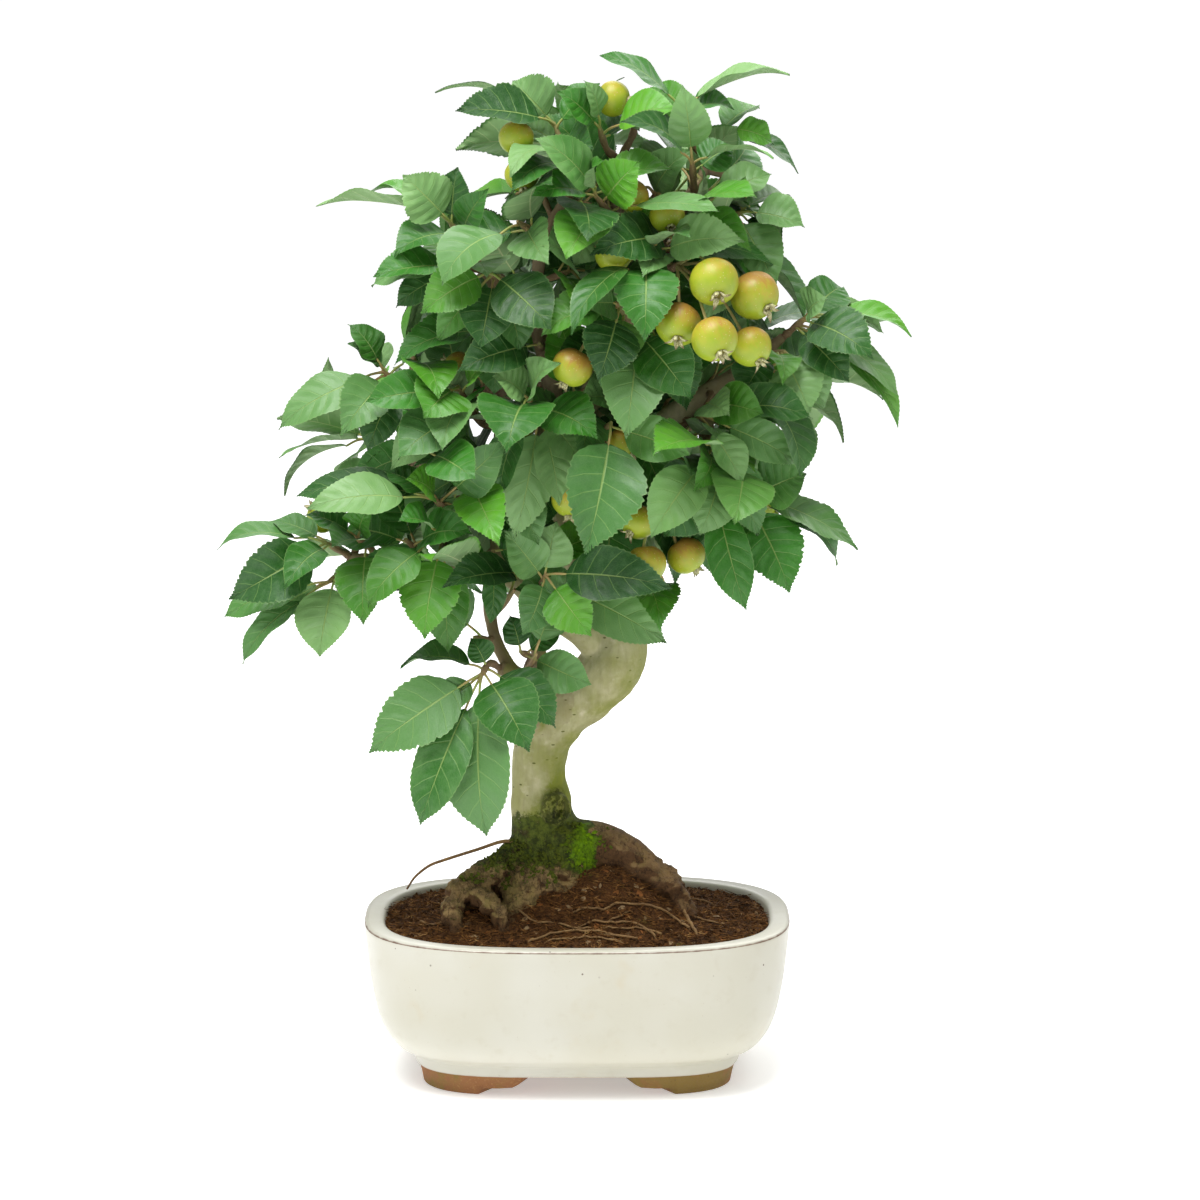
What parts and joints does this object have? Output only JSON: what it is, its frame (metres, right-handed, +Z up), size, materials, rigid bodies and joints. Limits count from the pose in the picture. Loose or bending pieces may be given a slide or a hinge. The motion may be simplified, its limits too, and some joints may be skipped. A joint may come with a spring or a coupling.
{
  "type": "potted bonsai tree",
  "caption": "Small fruiting crabapple tree with a curved trunk and surface roots, growing in soil in a shallow glazed oval pot on corner feet.",
  "frame": {"origin": "on the ground under the middle of the whole object's outline", "axes": "+Z up, +X along the pot's long side to the viewer's right, -Y towards the front of the tree"},
  "size_m": [0.3432, 0.1984, 0.5133],
  "materials": {
    "glaze": "gloss",
    "soil": "matte",
    "mesh": "matte",
    "bark": "matte",
    "leaf": "satin",
    "fruit": "satin"
  },
  "bodies": {
    "root": {"pot": "glaze", "soil": "soil", "drain_mesh_left": "mesh", "drain_mesh_right": "mesh", "tree_wood": "bark", "fruit_main": "fruit", "fruit_top": "fruit", "fruit_top_left": "fruit", "fruit_upper": "fruit", "fruit_light": "fruit", "fruit_centre": "fruit", "fruit_left": "fruit", "fruit_mid": "fruit", "fruit_low": "fruit", "fruit_right": "fruit", "fruit_far_left": "fruit", "fruit_back_low": "fruit", "fruit_back_mid": "fruit", "fruit_back_high": "fruit", "leaves_low_front": "leaf", "leaves_low_inner": "leaf", "leaves_elbow": "leaf", "leaves_elbow_left": "leaf", "leaves_centre_big": "leaf", "leaves_right_low": "leaf", "leaves_right_low_tip": "leaf", "leaves_right_mid": "leaf", "leaves_right_tip": "leaf", "leaves_right_fill": "leaf", "leaves_front_crown": "leaf", "leaves_centre": "leaf", "leaves_centre_left": "leaf", "leaves_heart": "leaf", "leaves_mid_left": "leaf", "leaves_mid_left_tip": "leaf", "leaves_above_low": "leaf", "leaves_low_left_mid": "leaf", "leaves_low_left_over": "leaf", "leaves_low_left_tip": "leaf", "leaves_low_left_under": "leaf", "leaves_top_left": "leaf", "leaves_top_centre": "leaf", "leaves_left_upper": "leaf", "leaves_left_upper_low": "leaf", "leaves_apex_left": "leaf", "leaves_apex_right": "leaf", "leaves_top_right": "leaf", "leaves_top_right_side": "leaf", "leaves_shoulder": "leaf", "leaves_back_low": "leaf", "leaves_back_low_inner": "leaf", "leaves_back_left_tip": "leaf", "leaves_back_left": "leaf", "leaves_back_mid": "leaf", "leaves_back_right_tip": "leaf", "leaves_back_right": "leaf", "leaves_back_high": "leaf", "leaves_back_high_left": "leaf", "leaves_back_top": "leaf", "leaves_back_centre": "leaf"}
  },
  "joints": []
}
